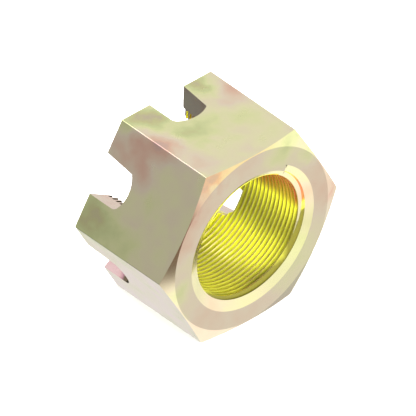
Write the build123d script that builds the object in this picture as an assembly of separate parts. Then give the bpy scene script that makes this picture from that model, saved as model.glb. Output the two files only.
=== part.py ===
from build123d import *
import math
import os

# A heavy slotted hexagon nut, cut from one steel bar: six open slots for a split pin are milled
# straight into the far end of the hexagon, with no turned crown.
# Millimetres. X is the thread axis and points out of the bearing face, the origin is the centre
# of that face, and the nut lies on one flat with Z up.

# Hexagon bar
across_flats = 58.0
nut_length = 35.8
bar_edge_radius = 0.4
sides = 6

# Bearing face, turned flat, with a chamfer that takes the six corners off
bearing_face_diameter = 57.5
chamfer_angle = 16.5  # from the face

# Bore for an M40 thread of 1.5 mm pitch, at its minor diameter
thread_minor_diameter = 38.376
countersink_diameter = 46.0
countersink_angle = 22.5  # from the end faces

# Slots, one in the middle of each flat, with one square wall and one wall that leans outwards
slot_depth = 12.3
slot_square_wall = 6.3  # from the middle of the flat
slot_leaning_wall = 6.5  # from the middle of the flat, at the mouth
slot_lean_angle = 6.6
slot_crown_radius = 9.5  # the floor is arched away from the mouth
slot_corner_radius = 2.3  # between the square wall and the floor

# How far a cutting profile runs past the surface that it opens
runout = 2.0


def hexagon_bar():
    """The bar, cut to length behind the bearing face, with its six long edges slightly rounded."""
    outline = Plane.YZ * RegularPolygon(across_flats / 2, sides, major_radius=False)
    bar = extrude(outline, -nut_length)
    return fillet(bar.edges().filter_by(Axis.X), bar_edge_radius)


def turned_envelope():
    """What the lathe leaves of the bar: a flat bearing face and the chamfer round it."""
    face_radius = bearing_face_diameter / 2
    outer_radius = across_flats / math.sqrt(3) + runout
    chamfer_drop = (outer_radius - face_radius) * math.tan(math.radians(chamfer_angle))
    profile = Polyline(
        (0, 0),
        (0, face_radius),
        (-chamfer_drop, outer_radius),
        (-nut_length, outer_radius),
        (-nut_length, 0),
        close=True,
    )
    return revolve(make_face(profile), Axis.X)


def bore():
    """The thread's bore, opened by the same countersink at both ends."""
    minor_radius = thread_minor_diameter / 2
    mouth_radius = countersink_diameter / 2
    sink = (mouth_radius - minor_radius) * math.tan(math.radians(countersink_angle))
    profile = Polyline(
        (0, 0),
        (0, mouth_radius),
        (-sink, minor_radius),
        (sink - nut_length, minor_radius),
        (-nut_length, mouth_radius),
        (-nut_length, 0),
        close=True,
    )
    return revolve(make_face(profile), Axis.X)


def slot_section():
    """A slot seen square to its flat: x runs across the flat, y from the mouth to the floor."""
    lean = math.tan(math.radians(slot_lean_angle))
    crown_centre = slot_depth - slot_crown_radius
    walls = make_face(
        Polyline(
            (slot_square_wall, -runout),
            (slot_square_wall, slot_depth + runout),
            ((slot_depth + runout) * lean - slot_leaning_wall, slot_depth + runout),
            (-runout * lean - slot_leaning_wall, -runout),
            close=True,
        )
    )
    nose = Pos(0, crown_centre) * Circle(slot_crown_radius)
    shank_length = crown_centre + runout
    shank = Pos(0, crown_centre - shank_length / 2) * Rectangle(2 * slot_crown_radius, shank_length)
    section = walls & (nose + shank)
    square_corner = section.vertices().group_by(Axis.X)[-1].sort_by(Axis.Y)[-1]
    return fillet(square_corner, slot_corner_radius)


def slots():
    """The slot, run from the thread axis out through a flat, and repeated on all six flats."""
    mouth = Plane(origin=(-nut_length, 0, 0), x_dir=(0, 0, 1), z_dir=(0, 1, 0))
    cutter = extrude(mouth * slot_section(), across_flats / 2 + runout)
    step = 360 / sides
    return [cutter.rotate(Axis.X, step * (side + 0.5)) for side in range(sides)]


castle_nut = (hexagon_bar() & turned_envelope()) - bore() - slots()

os.makedirs("parts", exist_ok=True)
export_step(castle_nut, "parts/castle_nut.step")
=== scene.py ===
import math

import bmesh
import bpy
from mathutils import Matrix, Vector


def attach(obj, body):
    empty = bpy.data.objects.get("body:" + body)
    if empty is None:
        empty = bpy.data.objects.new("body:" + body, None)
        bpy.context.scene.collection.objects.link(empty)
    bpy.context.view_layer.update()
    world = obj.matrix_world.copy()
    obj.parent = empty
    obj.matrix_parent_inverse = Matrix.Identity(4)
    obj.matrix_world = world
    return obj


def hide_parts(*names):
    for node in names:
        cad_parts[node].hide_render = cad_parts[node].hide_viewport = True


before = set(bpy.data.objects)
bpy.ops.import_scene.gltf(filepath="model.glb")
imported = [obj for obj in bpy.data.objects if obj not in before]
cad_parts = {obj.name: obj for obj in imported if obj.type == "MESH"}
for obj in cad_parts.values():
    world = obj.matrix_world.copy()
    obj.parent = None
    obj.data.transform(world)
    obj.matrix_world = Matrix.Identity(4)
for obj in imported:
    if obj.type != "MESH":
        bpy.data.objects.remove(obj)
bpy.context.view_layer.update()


# The hexagon bar
# Free-cutting steel drawn to a hexagon, with its six long edges slightly rounded by the die.
# It is sawn to length behind the bearing face, and lies on one of its flats.
MM = 0.001  # a size is in millimetres until it goes into a mesh
SIDES = 6
ACROSS_FLATS = 58.0
CORNER_RADIUS = ACROSS_FLATS / math.sqrt(3)
NUT_LENGTH = 35.8
BAR_EDGE_RADIUS = 0.4
BAR_EDGE_STEPS = 8
OVERRUN = 2.0  # how far a cutter runs past what it cuts


def linear(colour):
    """An sRGB hex colour as linear light."""
    parts = [int(colour[i:i + 2], 16) / 255 for i in (1, 3, 5)]
    return tuple(c / 12.92 if c <= 0.04045 else ((c + 0.055) / 1.055) ** 2.4 for c in parts) + (1.0,)


def node(tree, kind, inputs=None, **settings):
    """Adds a node with its settings. Each input is a value, or the node or socket it is linked to."""
    made = tree.nodes.new(kind)
    for key, value in settings.items():
        setattr(made, key, value)
    for key, value in (inputs or {}).items():
        if isinstance(value, bpy.types.Node):
            value = value.outputs[0]
        if isinstance(value, bpy.types.NodeSocket):
            tree.links.new(value, made.inputs[key])
        else:
            made.inputs[key].default_value = value
    return made


def closed_solid(name, rings, finish):
    """A closed mesh through rings of the same number of points, in millimetres, capped at both ends."""
    mesh = bmesh.new()
    rows = [[mesh.verts.new(Vector(point) * MM) for point in ring] for ring in rings]
    count = len(rows[0])
    for low, high in zip(rows, rows[1:]):
        for i in range(count):
            j = (i + 1) % count
            mesh.faces.new((low[i], low[j], high[j], high[i]))
    mesh.faces.new(rows[0])
    mesh.faces.new(rows[-1])
    return finished_solid(name, mesh, finish)


def finished_solid(name, mesh, finish):
    """Turns a bmesh into an object with its faces outwards and one material."""
    bmesh.ops.recalc_face_normals(mesh, faces=mesh.faces)
    data = bpy.data.meshes.new(name)
    mesh.to_mesh(data)
    mesh.free()
    data.materials.append(finish)
    solid = bpy.data.objects.new(name, data)
    bpy.context.scene.collection.objects.link(solid)
    return solid


def around(x, radius, angle):
    """A point at an angle about the thread axis, from +Y towards +Z."""
    return (x, radius * math.cos(angle), radius * math.sin(angle))


def bar_outline(x):
    """The hexagon with its corners on an arc of the edge radius, at one place along the bar."""
    centre_radius = CORNER_RADIUS - BAR_EDGE_RADIUS / math.cos(math.pi / SIDES)
    points = []
    for side in range(SIDES):
        corner = 2 * math.pi * side / SIDES
        for step in range(BAR_EDGE_STEPS + 1):
            turn = corner + (step / BAR_EDGE_STEPS - 0.5) * 2 * math.pi / SIDES
            _, cy, cz = around(x, centre_radius, corner)
            _, dy, dz = around(x, BAR_EDGE_RADIUS, turn)
            points.append((x, cy + dy, cz + dz))
    return points


# The passivate's film from thin to thick: rosy, peach, cream, yellow, green, and rosy grey again.
FILM_COLOURS = [
    (0.00, "#E6C3B4"),
    (0.10, "#F7CDB3"),
    (0.22, "#FADCC0"),
    (0.38, "#FCEBCE"),
    (0.54, "#FCF5C6"),
    (0.68, "#F4F5B8"),
    (0.79, "#E5EAAC"),
    (0.89, "#DFDBA2"),
    (1.00, "#D8C8B0"),
]
CLOUD_WIDTH = 7.0
DRIFT_WIDTH = 6.0
DRIFT = 3.5
RUBBED = 0.15
# Nearly all that a noise texture gives lies between these two.
NOISE_LOW = 0.3
NOISE_HIGH = 0.7


def plated(name, even, film_and_painted_light, mottle, roughness, grain, grain_depth, colours=FILM_COLOURS, tint="#FFFFFF",
           metallic=1.0, drift=DRIFT):
    """Yellow passivated zinc over the marks of one kind of tool.

    even is how thick the passivate is, from 0 to 1 along its colours, and mottle is how far clouds change it.
    film_and_painted_light lists patches of passivate and of painted light and shade: a place, how far it
    reaches, the same or its own each way, and ramp_step, how far along the colours it moves there. drift is
    how far a patch wanders from its shape.
    """
    material = bpy.data.materials.new(name)
    material.use_nodes = True
    tree = material.node_tree
    place = node(tree, "ShaderNodeTexCoord").outputs["Object"]
    place = node(tree, "ShaderNodeVectorMath", {0: place, 1: (1 / MM,) * 3}, operation="MULTIPLY")
    wander = node(tree, "ShaderNodeTexNoise", {"Vector": place, "Scale": 1 / DRIFT_WIDTH, "Detail": 4.0})
    wander = wander.outputs["Color"]
    wander = node(tree, "ShaderNodeVectorMath", {0: wander, 1: (0.5,) * 3}, operation="SUBTRACT")
    wander = node(tree, "ShaderNodeVectorMath", {0: wander, "Scale": 2 * drift}, operation="SCALE")
    drifted = node(tree, "ShaderNodeVectorMath", {0: place, 1: wander}, operation="ADD")
    cloud = node(tree, "ShaderNodeTexNoise", {"Vector": place, "Scale": 1 / CLOUD_WIDTH, "Detail": 5.0})
    thickness_and_painted_light = node(
        tree,
        "ShaderNodeMapRange",
        {
            "Value": cloud,
            "From Min": NOISE_LOW,
            "From Max": NOISE_HIGH,
            "To Min": even - mottle,
            "To Max": even + mottle,
        },
    )
    for centre, size, ramp_step in film_and_painted_light:
        reach = size if isinstance(size, tuple) else (size,) * 3
        away = node(tree, "ShaderNodeVectorMath", {0: drifted, 1: centre}, operation="SUBTRACT")
        away = node(tree, "ShaderNodeVectorMath", {0: away, 1: reach}, operation="DIVIDE")
        away = node(tree, "ShaderNodeVectorMath", {0: away}, operation="LENGTH").outputs["Value"]
        patch = node(
            tree,
            "ShaderNodeMapRange",
            {"Value": away, "To Min": ramp_step, "To Max": 0.0},
            interpolation_type="SMOOTHSTEP",
        )
        thickness_and_painted_light = node(tree, "ShaderNodeMath", {0: thickness_and_painted_light, 1: patch}, operation="ADD")
    colour = node(tree, "ShaderNodeValToRGB", {"Fac": thickness_and_painted_light})
    stops = colour.color_ramp.elements
    while len(stops) < len(colours):
        stops.new(0.5)
    for stop, (position, shade) in zip(stops, colours):
        stop.position = position
        stop.color = [part * share for part, share in zip(linear(shade), linear(tint))]
    rub = node(
        tree,
        "ShaderNodeMapRange",
        {
            "Value": cloud,
            "From Min": NOISE_LOW,
            "From Max": NOISE_HIGH,
            "To Min": roughness * (1 - RUBBED),
            "To Max": roughness * (1 + RUBBED),
        },
    )
    marks = node(tree, "ShaderNodeTexNoise", {"Vector": grain(tree, place), "Scale": 1.0, "Detail": 2.0})
    bump = node(tree, "ShaderNodeBump", {"Height": marks, "Strength": 1.0, "Distance": grain_depth * MM})
    bsdf = tree.nodes["Principled BSDF"]
    bsdf.inputs["Metallic"].default_value = metallic
    tree.links.new(colour.outputs["Color"], bsdf.inputs["Base Color"])
    tree.links.new(rub.outputs["Result"], bsdf.inputs["Roughness"])
    tree.links.new(bump.outputs["Normal"], bsdf.inputs["Normal"])
    return material


def on_flat(normal, x, across):
    """A point on a flat, from the flat's direction in degrees."""
    turn = math.radians(normal)
    _, y, z = around(x, ACROSS_FLATS / 2, turn)
    _, dy, dz = around(x, across, turn + math.pi / 2)
    return (x, y + dy, z + dz)


LINES_PER_MM = (0.03, 2.0, 2.0)


def drawn(tree, place):
    """Fine lines along the bar, 0.5 mm apart where the real ones are finer."""
    return node(tree, "ShaderNodeVectorMath", {0: place, 1: LINES_PER_MM}, operation="MULTIPLY")


# Cold drawing leaves long fine lines, so the flats look like satin with a soft sheen along the bar. The
# film is thin and rosy by one long edge and by the slots, and thick and green beside them.
bar_finish = plated(
    "zinc_plate_on_drawn_bar",
    0.51,
    [
        (on_flat(90, -25, -16), (11, 8, 8), -0.32),
        (on_flat(90, -34, -10), 8, 0.40),
        (on_flat(90, -19, 4), (9, 10, 10), 0.37),
        (on_flat(90, -33, 14), 10, 0.50),
        (on_flat(90, -29, 8), 7, 0.26),
        (on_flat(90, -20, 14), 6, -0.22),
        (on_flat(90, -17, 17), 6, -0.28),
        (on_flat(90, -8, 15), (10, 8, 8), -0.20),
        (on_flat(90, -14, -8), 11, 0.12),
        (on_flat(150, -30, -12), (15, 12, 12), -0.36),
        (on_flat(150, -22, -14), 9, -0.18),
        (on_flat(150, -21, -6), 8, -0.24),
        (on_flat(150, -32, 12), (14, 12, 12), 0.40),
        (on_flat(150, -19, 14), (9, 8, 8), 0.26),
        (on_flat(150, -14, 2), (6, 14, 14), 0.08),
    ],
    mottle=0.10, roughness=0.24, grain=drawn, grain_depth=0.0012,
)
nut = closed_solid("castle_nut_plated", [bar_outline(OVERRUN), bar_outline(-NUT_LENGTH)], bar_finish)


# The turned bearing face
# The front end is faced flat on a lathe, and a shallow chamfer takes its six corners off.
# The cone leaves an arc on each flat.
FACE_RADIUS = 57.5 / 2
CHAMFER_ANGLE = math.radians(16.5)
TURNED_STEPS = 288
RINGS_PER_MM = 2.0


def circle(x, radius):
    """A ring of points round the thread axis."""
    return [around(x, radius, 2 * math.pi * i / TURNED_STEPS) for i in range(TURNED_STEPS)]


def combine(solid, tool, operation):
    """Cuts the solid with the tool, or keeps what they share. The cut faces get the tool's finish."""
    finish = tool.data.materials[0]
    if finish.name not in solid.data.materials:
        solid.data.materials.append(finish)
    tool.data.materials.clear()
    for shared in solid.data.materials:
        tool.data.materials.append(shared)
    index = solid.data.materials.find(finish.name)
    tool.data.polygons.foreach_set("material_index", [index] * len(tool.data.polygons))
    cut = solid.modifiers.new(operation, "BOOLEAN")
    cut.material_mode = "INDEX"
    cut.object = tool
    cut.operation = operation
    cut.solver = "MANIFOLD"
    apply_modifiers(solid)
    bpy.data.objects.remove(tool)


def apply_modifiers(solid):
    """Replaces the mesh with what its modifiers make of it."""
    depsgraph = bpy.context.evaluated_depsgraph_get()
    data = bpy.data.meshes.new_from_object(solid.evaluated_get(depsgraph))
    solid.modifiers.clear()
    solid.data = data


def turned(tree, place):
    """Fine rings round the axis, 0.5 mm apart where the real ones are finer."""
    flat = node(tree, "ShaderNodeVectorMath", {0: place, 1: (0, 1, 1)}, operation="MULTIPLY")
    radius = node(tree, "ShaderNodeVectorMath", {0: flat}, operation="LENGTH").outputs["Value"]
    rings = node(tree, "ShaderNodeMath", {0: radius, 1: RINGS_PER_MM}, operation="MULTIPLY")
    return node(tree, "ShaderNodeCombineXYZ", {0: rings})


# The facing tool leaves fine rings, which spread the light a little less than the drawn flats do.
turned_finish = plated(
    "zinc_plate_on_turned_face",
    0.40,
    [
        ((0, -27, 12), 10, -0.28),
        ((0, -20, 20), 10, -0.18),
        ((0, -26, -6), 7, 0.26),
        ((0, -16, -22), 13, -0.10),
        ((0, 0, -27), 9, -0.06),
        ((0, 24, 10), 10, -0.16),
        ((0, 27, 1), 9, -0.16),
        ((0, 10, 25), 8, 0.26),
        ((0, 20, 19), 7, 0.26),
        ((0, 18, -17), 14, 0.20),
        ((0, -3, 26), 8, -0.10),
        ((-1, -15, 28), (3, 11, 8), -0.44),
        ((-1, -25, 19), (3, 7, 8), -0.30),
        ((-1, 16, 28), 8, 0.32),
        ((-1, 31, 1), (3, 5, 6), -0.20),
    ],
    mottle=0.06, roughness=0.15, grain=turned, grain_depth=0.0012,
)
outer_radius = CORNER_RADIUS + OVERRUN
chamfer_drop = (outer_radius - FACE_RADIUS) * math.tan(CHAMFER_ANGLE)
envelope = closed_solid(
    "turned_envelope",
    [
        circle(0, FACE_RADIUS),
        circle(-chamfer_drop, outer_radius),
        circle(-NUT_LENGTH - OVERRUN, outer_radius),
    ],
    turned_finish,
)
combine(nut, envelope, "INTERSECT")


# The slots
# Six open slots for a split pin, milled into the far end, one in the middle of each flat.
# One wall is square to the end and the other leans outwards; the floor is arched.
SLOT_DEPTH = 12.3
SQUARE_WALL = 6.3
LEANING_WALL = 6.5
LEAN = math.tan(math.radians(6.6))
CROWN_RADIUS = 9.5
CORNER_ROUND = 2.3
ARC_STEP = math.radians(5)


def arc(centre, radius, start, end):
    """Points on an arc in the flat's plane."""
    count = max(2, round(abs(end - start) / ARC_STEP))
    turns = [start + (end - start) * i / count for i in range(count + 1)]
    return [(centre[0] + radius * math.cos(t), centre[1] + radius * math.sin(t)) for t in turns]


def slot_outline():
    """The slot seen square to its flat: across the flat, and depth from the mouth."""
    crown_centre = SLOT_DEPTH - CROWN_RADIUS
    corner_across = SQUARE_WALL - CORNER_ROUND
    reach = CROWN_RADIUS - CORNER_ROUND
    corner_depth = crown_centre + math.sqrt(reach**2 - corner_across**2)
    meeting = math.atan2(corner_depth - crown_centre, corner_across)
    # The leaning wall meets the arched floor where across = depth * LEAN - LEANING_WALL.
    a = 1 + LEAN**2
    b = -2 * crown_centre - 2 * LEAN * LEANING_WALL
    c = crown_centre**2 + LEANING_WALL**2 - CROWN_RADIUS**2
    foot_depth = (-b + math.sqrt(b * b - 4 * a * c)) / (2 * a)
    foot_across = foot_depth * LEAN - LEANING_WALL
    foot = math.atan2(foot_depth - crown_centre, foot_across)
    outline = [(-OVERRUN * LEAN - LEANING_WALL, -OVERRUN), (SQUARE_WALL, -OVERRUN)]
    outline += arc((corner_across, corner_depth), CORNER_ROUND, 0, meeting)
    outline += arc((0, crown_centre), CROWN_RADIUS, meeting, foot)[1:]
    return outline


# The cutter leaves long even marks. The film in the slots is thin and slightly pink, and one inner corner,
# where the square wall meets the floor, is painted dark as shade.
MILLED_COLOURS_WITH_PAINTED_SHADE = [
    # The darkest colour is reached only in the corner of painted shade.
    (0.00, "#7E7858"),
    (0.12, "#D8B2A8"),
    (0.24, "#FADCC0"),
    (0.38, "#FCEBCE"),
    (0.54, "#FCF5C6"),
]
PAINTED_SHADE_CORNER = (-25.3, -21.1, -19.5)
milled_finish_with_painted_shade = plated(
    "zinc_plate_on_milled_slot_with_painted_shade", 0.34, [(PAINTED_SHADE_CORNER, 7, -0.44)], mottle=0.12, tint="#FFFAFF",
    roughness=0.24, grain=drawn, grain_depth=0.002, colours=MILLED_COLOURS_WITH_PAINTED_SHADE, drift=0.8,
)
for side in range(SIDES):
    normal = 2 * math.pi * (side + 0.5) / SIDES
    rings = []
    for height in (0, ACROSS_FLATS / 2 + OVERRUN):
        ring = []
        for across, depth in slot_outline():
            _, y, z = around(0, height, normal)
            _, dy, dz = around(0, across, normal + math.pi / 2)
            ring.append((depth - NUT_LENGTH, y + dy, z + dz))
        rings.append(ring)
    combine(nut, closed_solid(f"slot_cutter_{side}", rings, milled_finish_with_painted_shade), "DIFFERENCE")


# The countersinks
# Both ends of the bore are opened by a wide, shallow cone before the thread is cut.
# At each end the burr of the first turn stands in over a third of the mouth and ends in a step.
MOUTH_RADIUS = 46.0 / 2
SINK_SLOPE = math.tan(math.radians(22.5))
CREST_RADIUS = 19.2
LIP_IN = 2.0
LIP_SPAN = math.radians(125)
FRONT_STEP = math.radians(59)
BACK_STEP = math.radians(150)
STEP_LEAN = math.radians(-3)
STEP_FOOT_RADIUS = 20.85
MOUTH_OFF_AXIS = (0, 0.45, -0.20)  # the front one was cut a little off centre
CORE_RADIUS = 17.0  # well inside the bore

# Cut in one pass with a form tool, so it is the brightest of the surfaces, with a thick cream film.
countersink_finish = plated(
    "zinc_plate_on_countersink",
    0.52,
    [
        ((-1, -14, -17), 12, -0.20),
        ((-1, 21, 5), 8, -0.25),
        ((-1, 17, -12), 11, 0.14),
    ],
    mottle=0.05, tint="#FFFFF8", roughness=0.18, grain=turned, grain_depth=0.001,
)


def countersink(face, out, step_at, off_axis):
    """A cone-shaped cutter that leaves the lip, from its step at step_at onwards.

    face is the end's place along the axis, and out is +1 or -1, the way out of the nut there.
    """
    mesh = bmesh.new()
    radii = [CORE_RADIUS, CREST_RADIUS, STEP_FOOT_RADIUS, MOUTH_RADIUS, MOUTH_RADIUS + 2 * OVERRUN]
    columns = []
    for i in range(TURNED_STEPS + 1):
        turn = 2 * math.pi * i / TURNED_STEPS
        inset = LIP_IN * max(0.0, 1 - turn / LIP_SPAN)
        column = []
        for radius in radii:
            share = (MOUTH_RADIUS - radius) / (MOUTH_RADIUS - STEP_FOOT_RADIUS)
            start = step_at + STEP_LEAN * min(max(share, 0), 1)
            depth = (MOUTH_RADIUS - inset - radius) * SINK_SLOPE
            point = Vector(around(face - out * depth, radius, start + turn)) + Vector(off_axis)
            column.append(mesh.verts.new(point * MM))
        columns.append(column)
    top = face + out * 2 * OVERRUN
    rim = []
    for i in range(TURNED_STEPS):
        point = Vector(around(top, radii[-1], step_at + 2 * math.pi * i / TURNED_STEPS)) + Vector(off_axis)
        rim.append(mesh.verts.new(point * MM))
    bottom = mesh.verts.new(Vector((face - out * MOUTH_RADIUS * SINK_SLOPE, 0, 0)) * MM)
    for i in range(TURNED_STEPS):
        left, right = columns[i], columns[i + 1]
        for a in range(len(radii) - 1):
            mesh.faces.new((left[a], left[a + 1], right[a + 1], right[a]))
        mesh.faces.new((left[-1], rim[i], rim[(i + 1) % TURNED_STEPS], right[-1]))
        mesh.faces.new((bottom, left[0], right[0]))
    first, last = columns[0], columns[-1]
    mesh.faces.new((bottom, *first, rim[0], *reversed(last)))
    mesh.faces.new(rim)
    return finished_solid("countersink", mesh, countersink_finish)


combine(nut, countersink(-NUT_LENGTH, -1, BACK_STEP, (0, 0, 0)), "DIFFERENCE")
combine(nut, countersink(0, 1, FRONT_STEP, MOUTH_OFF_AXIS), "DIFFERENCE")


# The bore
# Drilled and bored right through before the thread is cut, so its wall is what the crests keep.
# Bored smooth; the narrow crests are all that is left of it, rougher than the flanks beside them and tinted
# darker as painted shade, so they show duller; a thinner, peach patch at the top near the front is a painted
# reflection.
bore_finish_with_painted_light = plated(
    "zinc_plate_on_bored_hole_with_painted_light", 0.60, [((-3, 17, 9), 11, -0.4)], mottle=0.04, tint="#D8D0A0", roughness=0.35,
    grain=turned, grain_depth=0.001,
)
bore = closed_solid(
    "bore", [circle(OVERRUN, CREST_RADIUS), circle(-NUT_LENGTH - OVERRUN, CREST_RADIUS)], bore_finish_with_painted_light,
)
combine(nut, bore, "DIFFERENCE")


# The thread
# A right-hand thread of 1.5 mm pitch, cut with a sharp single point, so its first groove fades out
# on the cone of the countersink. As in the photograph, the groove is deeper than it is wide, and
# deeper still under the slots.
PITCH = 1.5
ROOT_RADIUS = 21.0
MOUTH_AHEAD = 0.34
MOUTH_BEHIND = 0.68
ROOT_HALF = 0.12
DEEPEST_RADIUS = 22.4
DEEPEST_HALF = 0.34
DEEPENS_FROM = 20.0
DEEPENS_TO = 27.0
FIRST_GROOVE_DEPTH = 0.84
FIRST_GROOVE_AT = math.radians(37)
TURN_STEPS = 144
GROOVE_ROUND = 0.06
RELIEF = 0.02  # how far the cutter stays inside the crests between its ridges

# The film on the thread is strong yellow, partly its own colour and partly painted light, standing in for the
# light that its flanks mirror to each other. The patches below are painted light and shade, and the thin
# orange band along the top is a painted reflection. The film is thick, which hides much of the metal and
# gives it a dull shine.
# The even film lies between 0.62 and 0.70. Only the patches of painted light and shade reach the orange,
# bright yellow and dark ends of these colours.
THREAD_COLOURS_WITH_PAINTED_LIGHT = [
    (0.00, "#46361C"),
    (0.05, "#B4623C"),
    (0.14, "#BA6E3A"),
    (0.24, "#B87630"),
    (0.36, "#CBB63A"),
    (0.52, "#FFFF52"),
    (0.90, "#B9B739"),
    (1.00, "#7C7622"),
]
MID_FLANK = 20.0
LOW_FLANK = 20.5
BAND_LENGTH = 90.0  # so long that the band is even from end to end
BAND_ROUND = 200.0  # so wide that the band is even right round the bore


def in_groove(x, radius, angle):
    """A point in the groove, at an angle about the axis in degrees."""
    return around(x, radius, math.radians(angle))


def painted_band_along_bore(angle, width, ramp_step):
    """A band of painted light and shade along the whole bore, at an angle about the axis in degrees."""
    return (in_groove(-NUT_LENGTH / 2, MID_FLANK, angle), (BAND_LENGTH, width, width), ramp_step)


def painted_ring_round_bore(x, length, ramp_step):
    """A ring of painted shade right round the bore, at one place along it."""
    return ((x, 0, 0), (length, BAND_ROUND, BAND_ROUND), ramp_step)


thread_finish_with_painted_light = plated(
    "zinc_plate_on_cut_thread_with_painted_light",
    0.66,
    [
        # Bands along the bore are painted reflections of the tent: the thin orange band along the top and the
        # olive bands paint dark reflections, and the band at -52 degrees is a painted highlight.
        painted_band_along_bore(50, 38, -0.58),
        painted_band_along_bore(-16, 8, 0.27),
        painted_band_along_bore(-32, 7, 0.25),
        painted_band_along_bore(-52, 10, -0.10),
        painted_band_along_bore(-80, 9, 0.16),
        painted_band_along_bore(-118, 13, 0.24),
        # Rings right round the bore are painted shade: darker at the front over the first flanks, and olive
        # at the far end.
        painted_ring_round_bore(0, 3.2, 0.33),
        painted_ring_round_bore(-37, 9, 0.45),
        # Spots near the front mouth are painted light and shade: darker olive at -75, -60, -14 and -128
        # degrees, and orange at 18 degrees as a painted dark reflection.
        (in_groove(0, MID_FLANK, -75), (10, 30, 30), 0.14),
        (in_groove(0, LOW_FLANK, -60), (9, 14, 14), 0.22),
        (in_groove(0, LOW_FLANK, -14), (3.4, 9, 9), 0.90),
        (in_groove(0, LOW_FLANK, 18), (5, 11, 11), -0.38),
        (in_groove(0, LOW_FLANK, -128), (6, 12, 12), 0.16),
        # The teeth at the far end, on the left of the bore, are painted almost black as shade.
        (in_groove(-33, MID_FLANK, 165), (12, 22, 22), -1.60),
    ],
    mottle=0.04, roughness=0.32, grain=turned, grain_depth=0.0001, colours=THREAD_COLOURS_WITH_PAINTED_LIGHT, metallic=0.3,
    drift=0.8,
)


def groove_outline(share):
    """The groove's section: place along the axis from its middle, and radius. Its back leans more."""
    root = ROOT_RADIUS + (DEEPEST_RADIUS - ROOT_RADIUS) * share
    half = ROOT_HALF + (DEEPEST_HALF - ROOT_HALF) * share
    return [
        (-MOUTH_BEHIND - GROOVE_ROUND, CREST_RADIUS - RELIEF),
        (-MOUTH_BEHIND + GROOVE_ROUND / 2, CREST_RADIUS + GROOVE_ROUND),
        (-half - GROOVE_ROUND / 2, root - GROOVE_ROUND),
        (-half + GROOVE_ROUND, root),
        (half - GROOVE_ROUND, root),
        (half + GROOVE_ROUND / 2, root - GROOVE_ROUND),
        (MOUTH_AHEAD - GROOVE_ROUND / 2, CREST_RADIUS + GROOVE_ROUND),
        (MOUTH_AHEAD + GROOVE_ROUND, CREST_RADIUS - RELIEF),
    ]


def deepened(depth):
    """How far along the groove is to its deeper form under the slots, from 0 to 1."""
    return min(max((depth - DEEPENS_FROM) / (DEEPENS_TO - DEEPENS_FROM), 0), 1)


def thread_cutter():
    """A threaded plug, longer than the nut at both ends."""
    mesh = bmesh.new()
    turns = math.ceil((NUT_LENGTH + 4 * OVERRUN) / PITCH) + 1
    first_turn = -turns + math.ceil(2 * OVERRUN / PITCH)
    columns = []
    for i in range(TURN_STEPS):
        turn = 2 * math.pi * i / TURN_STEPS
        middle = PITCH * (turn - FIRST_GROOVE_AT) / (2 * math.pi) - FIRST_GROOVE_DEPTH
        column = []
        for k in range(first_turn, first_turn + turns):
            centre = middle + k * PITCH
            for place, radius in groove_outline(deepened(-centre)):
                column.append(mesh.verts.new(Vector(around(centre + place, radius, turn)) * MM))
        columns.append(column)
    step = len(groove_outline(0))
    rows = len(columns[0])
    for left, right in zip(columns, columns[1:]):
        for j in range(rows - 1):
            mesh.faces.new((left[j], left[j + 1], right[j + 1], right[j]))
    left, right = columns[-1], columns[0]
    for j in range(rows - 1 - step):
        mesh.faces.new((left[j], left[j + 1], right[j + 1 + step], right[j + step]))
    back = mesh.verts.new((left[0].co.x - PITCH * MM, 0, 0))
    front = mesh.verts.new((right[-1].co.x + PITCH * MM, 0, 0))
    back_edge = right[step::-1] + [column[0] for column in columns[1:]]
    front_edge = [column[-1] for column in columns] + left[-2:-2 - step:-1]
    for centre, loop in ((back, back_edge), (front, front_edge)):
        for a, b in zip(loop, loop[1:] + loop[:1]):
            mesh.faces.new((centre, a, b))
    return finished_solid("thread_cutter", mesh, thread_finish_with_painted_light)


combine(nut, thread_cutter(), "DIFFERENCE")


# The finished nut
# One piece of steel, plated and passivated after the last cut. The turned surfaces and the slots'
# floors are smooth all round, and every edge that a tool left stays sharp.
SHARP_FROM = math.radians(14)
nut.data.shade_smooth()
nut.data.set_sharp_from_angle(angle=SHARP_FROM)

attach(nut, "root")
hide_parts("castle_nut")


# The studio
# Matt white paper, lit evenly to pure white, with a gap too thin to see between it and the nut. Round it
# is a tent of soft light. The tent's walls, lamps, cards and dark gaps are what the plating mirrors,
# and so what tells its faces apart.
FLOOR_REACH = 3000.0
FLOOR_GAP = 0.02
PAPER_WHITE = "#F3F3F3"
PAPER_ROUGHNESS = 0.9
floor_mesh = bpy.data.meshes.new("floor")
reach = FLOOR_REACH * MM
ground = -(ACROSS_FLATS / 2 + FLOOR_GAP) * MM
corners = [(-reach, -reach, ground), (reach, -reach, ground), (reach, reach, ground), (-reach, reach, ground)]
floor_mesh.from_pydata(corners, [], [(0, 1, 2, 3)])
floor = bpy.data.objects.new("floor", floor_mesh)
bpy.context.scene.collection.objects.link(floor)
paper = bpy.data.materials.new("white_paper")
paper.use_nodes = True
paper_bsdf = paper.node_tree.nodes["Principled BSDF"]
paper_bsdf.inputs["Base Color"].default_value = linear(PAPER_WHITE)
paper_bsdf.inputs["Roughness"].default_value = PAPER_ROUGHNESS
floor_mesh.materials.append(paper)
floor.visible_glossy = False

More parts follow.
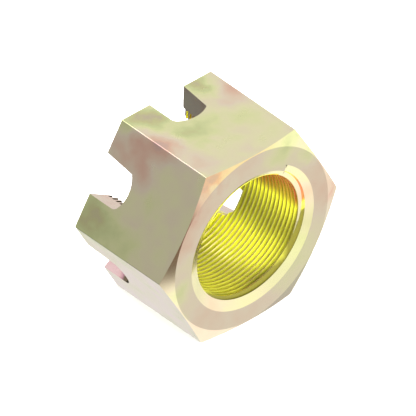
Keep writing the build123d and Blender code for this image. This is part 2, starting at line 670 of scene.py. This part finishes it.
# What each part of the tent is, which way it lies from the nut, the half angle in degrees that it fills,
# the half angle where it has faded out, and its light.
SOFT_LIGHTS = [
    ("front wall of the tent", (0.80, 0.38, -0.40), 32, 52, (1.08, 1.08, 1.03, 1)),
    ("pink side of the tent", (-0.50, -0.28, 0.82), 16, 36, (0.82, 0.74, 0.96, 1)),
    ("lamp over the edge", (-0.57, 0.12, 0.81), 5, 12, (3.5, 3.5, 3.5, 1)),
    ("dark back corner", (-0.94, 0.03, 0.33), 17, 24, (0.12, 0.11, 0.07, 1)),
    ("grey side wall", (-0.57, -0.82, 0.10), 18, 36, (0.42, 0.42, 0.43, 1)),
    ("dark table edge", (-0.62, -0.46, -0.64), 18, 32, (0.18, 0.20, 0.20, 1)),
    ("low side strip", (-0.57, 0.26, -0.78), 14, 24, (0.82, 0.80, 0.92, 1)),
    ("lamp low behind", (-0.61, 0.60, -0.53), 4, 9, (2.0, 2.0, 2.0, 1)),
    ("dim end of the wall", (0.92, 0.33, -0.25), 8, 16, (0.86, 0.87, 0.86, 1)),
    ("bright low strip", (0.32, 0.28, -0.90), 16, 24, (1.12, 1.12, 1.08, 1)),
    ("black flag", (0.86, 0.17, -0.48), 7, 12, (0.19, 0.16, 0.12, 1)),
    ("yellow card", (0.82, 0.48, -0.28), 7, 15, (1.06, 1.02, 0.66, 1)),
    ("grey card", (0.57, 0.54, -0.62), 10, 17, (0.71, 0.71, 0.71, 1)),
    ("dark low corner", (0.05, 0.60, -0.80), 3, 12, (0.50, 0.50, 0.50, 1)),
    ("bright end of the card", (0.02, 0.84, -0.54), 7, 13, (0.98, 0.98, 0.95, 1)),
]
TENT = (0.74, 0.74, 0.75, 1)
PAPER_LIGHT = (4.0, 4.0, 4.0, 1)
BACKDROP = (1, 1, 1, 1)
# A Mix node's colour sockets share their names with the others, so they go by number.
MIX_A = 6
MIX_B = 7
MIX_RESULT = 2
world = bpy.data.worlds.new("studio")
bpy.context.scene.world = world
world.use_nodes = True
tree = world.node_tree
way = node(tree, "ShaderNodeTexCoord").outputs["Generated"]
light = TENT
for what, direction, inner, outer, colour in SOFT_LIGHTS:
    middle = Vector(direction).normalized()
    facing = node(tree, "ShaderNodeVectorMath", {0: way, 1: middle}, operation="DOT_PRODUCT")
    share = node(
        tree,
        "ShaderNodeMapRange",
        {
            "Value": facing.outputs["Value"],
            "From Min": math.cos(math.radians(outer)),
            "From Max": math.cos(math.radians(inner)),
        },
        interpolation_type="SMOOTHSTEP",
        label=what,
    )
    mix = node(tree, "ShaderNodeMix", {"Factor": share, MIX_A: light, MIX_B: colour}, data_type="RGBA")
    light = mix.outputs[MIX_RESULT]
# Matt surfaces get the paper's even light, the plating mirrors the tent, and round it all is white.
path = node(tree, "ShaderNodeLightPath")
for rays, colour in (("Is Diffuse Ray", PAPER_LIGHT), ("Is Camera Ray", BACKDROP)):
    rays = path.outputs[rays]
    mix = node(tree, "ShaderNodeMix", {"Factor": rays, MIX_A: light, MIX_B: colour}, data_type="RGBA")
    light = mix.outputs[MIX_RESULT]
tree.links.new(light, tree.nodes["Background"].inputs["Color"])
bpy.context.scene.view_settings.view_transform = "Standard"
# The thread's flanks mirror each other many times over.
bpy.context.scene.cycles.glossy_bounces = 10


# The camera
# It looks down on the nut from the left of its bearing face, through a lens so long that nothing narrows
# with distance. It is held slightly askew, with the nut's middle just left of the frame's and above.
AZIMUTH = math.radians(46.34)
ELEVATION = math.radians(38.04)
ROLL = math.radians(1.70)
FRAME_WIDTH = 115.14
AIM = (-18.58, 0, 0)
AIM_RIGHT = 0.549
AIM_UP = -0.282
CAMERA_DISTANCE = 300.0
NEAREST_SEEN = 10.0
FURTHEST_SEEN = 10000.0
camera_data = bpy.data.cameras.new("camera")
camera_data.type = "ORTHO"
camera_data.ortho_scale = FRAME_WIDTH * MM
camera_data.clip_start = NEAREST_SEEN * MM
camera_data.clip_end = FURTHEST_SEEN * MM
back = Vector((
    math.sin(AZIMUTH) * math.cos(ELEVATION),
    -math.cos(AZIMUTH) * math.cos(ELEVATION),
    math.sin(ELEVATION),
))
level = Vector((math.cos(AZIMUTH), math.sin(AZIMUTH), 0))
right = level * math.cos(ROLL) + back.cross(level) * math.sin(ROLL)
up = back.cross(right)
aim = Vector(AIM) + right * AIM_RIGHT + up * AIM_UP
camera = bpy.data.objects.new("camera", camera_data)
bpy.context.scene.collection.objects.link(camera)
bpy.context.scene.camera = camera
facing = Matrix((right, up, back)).transposed().to_4x4()
camera.matrix_world = Matrix.Translation((aim + back * CAMERA_DISTANCE) * MM) @ facing
